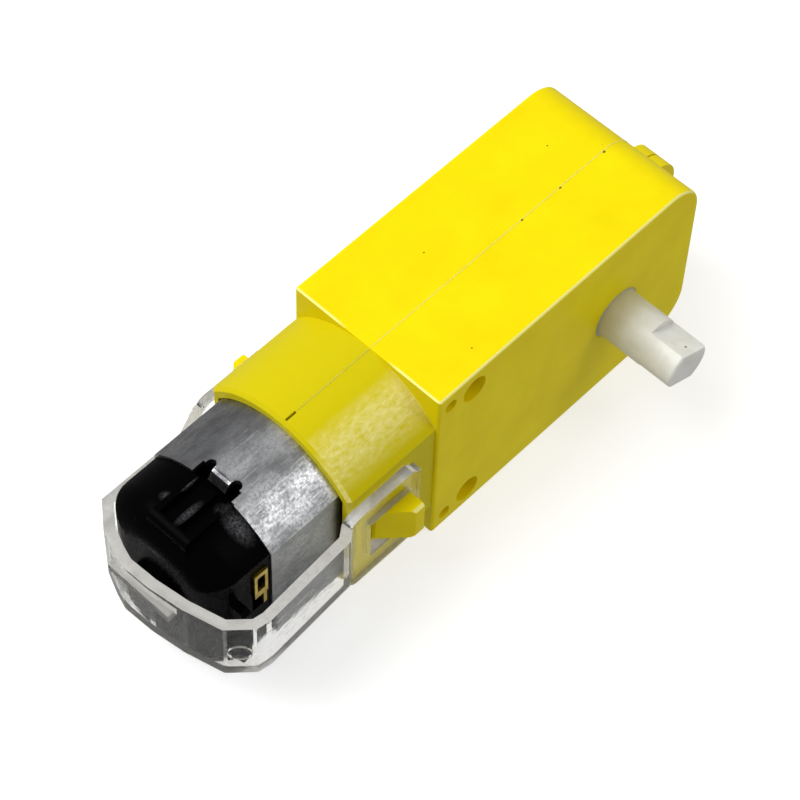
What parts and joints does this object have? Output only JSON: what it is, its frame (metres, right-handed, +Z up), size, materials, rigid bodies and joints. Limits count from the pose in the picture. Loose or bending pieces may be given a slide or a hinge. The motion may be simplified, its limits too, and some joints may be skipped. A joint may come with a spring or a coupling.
{
  "type": "geared dc motor",
  "caption": "Right-angle geared DC motor: yellow two-part gearbox, white shaft with two flats, steel motor can and clear retaining strap.",
  "frame": {"origin": "on the output shaft's axis, where the shaft leaves the gearbox's right-hand face", "axes": "+X along the motor towards the front tab, -Y along the output shaft away from the gearbox, +Z up as it lies on its long narrow side"},
  "size_m": [0.0722, 0.0305, 0.0226],
  "materials": {
    "yellow_case": "moulded, satin",
    "clear_strap": "clear, glossy",
    "white_nylon": "moulded, milky",
    "gear_nylon": "moulded",
    "zinc_can": "drawn, zinc plated, scratched",
    "black_nylon": "moulded, satin",
    "brass_strip": "stamped",
    "steel_pin": "ground",
    "screw_steel": "blackened",
    "bronze_bush": "sintered",
    "pinion_brass": "cut",
    "ferrite": "sintered",
    "core_steel": "laminated",
    "copper": "enamelled",
    "hub_resin": "moulded",
    "carbon": "pressed",
    "washer_fibre": "punched"
  },
  "bodies": {
    "gearbox": {"right_housing": "yellow_case", "left_housing": "yellow_case", "case_screws": "screw_steel", "idler_pin": "steel_pin", "output_pin": "steel_pin", "motor_can": "zinc_can", "motor_end_bell": "black_nylon", "front_bush": "bronze_bush", "rear_bush": "bronze_bush", "upper_magnet": "ferrite", "lower_magnet": "ferrite", "magnet_clip": "steel_pin", "right_terminal": "brass_strip", "left_terminal": "brass_strip", "right_brush": "carbon", "left_brush": "carbon", "motor_strap": "clear_strap"},
    "output": {"output_shaft": "white_nylon", "output_gear": "gear_nylon"},
    "third_stage": {"third_gear": "gear_nylon"},
    "second_stage": {"second_gear": "gear_nylon"},
    "crown_stage": {"crown_gear": "gear_nylon"},
    "rotor": {"motor_shaft": "steel_pin", "motor_pinion": "pinion_brass", "armature_core": "core_steel", "armature_windings": "copper", "commutator_hub": "hub_resin", "commutator_segments": "copper", "thrust_washers": "washer_fibre"}
  },
  "joints": [
    {"name": "output_spin", "type": "hinge", "parent": "gearbox", "child": "output", "pos_m": [0, 0, 0], "axis": [0, 1, 0], "continuous": true},
    {"name": "third_spin", "type": "hinge", "parent": "gearbox", "child": "third_stage", "pos_m": [-0.012, 0.0093, 0], "axis": [0, 1, 0], "continuous": true},
    {"name": "second_spin", "type": "hinge", "parent": "gearbox", "child": "second_stage", "pos_m": [0, 0.0093, 0], "axis": [0, 1, 0], "continuous": true},
    {"name": "crown_spin", "type": "hinge", "parent": "gearbox", "child": "crown_stage", "pos_m": [-0.012, 0.0093, 0], "axis": [0, 1, 0], "continuous": true},
    {"name": "rotor_spin", "type": "hinge", "parent": "gearbox", "child": "rotor", "pos_m": [-0.035, 0.0093, 0], "axis": [1, 0, 0], "continuous": true}
  ],
  "couplings": [
    {"joint": "third_spin", "follows": "output_spin", "ratio": -2},
    {"joint": "second_spin", "follows": "output_spin", "ratio": 6},
    {"joint": "crown_spin", "follows": "output_spin", "ratio": -18},
    {"joint": "rotor_spin", "follows": "output_spin", "ratio": -48}
  ]
}
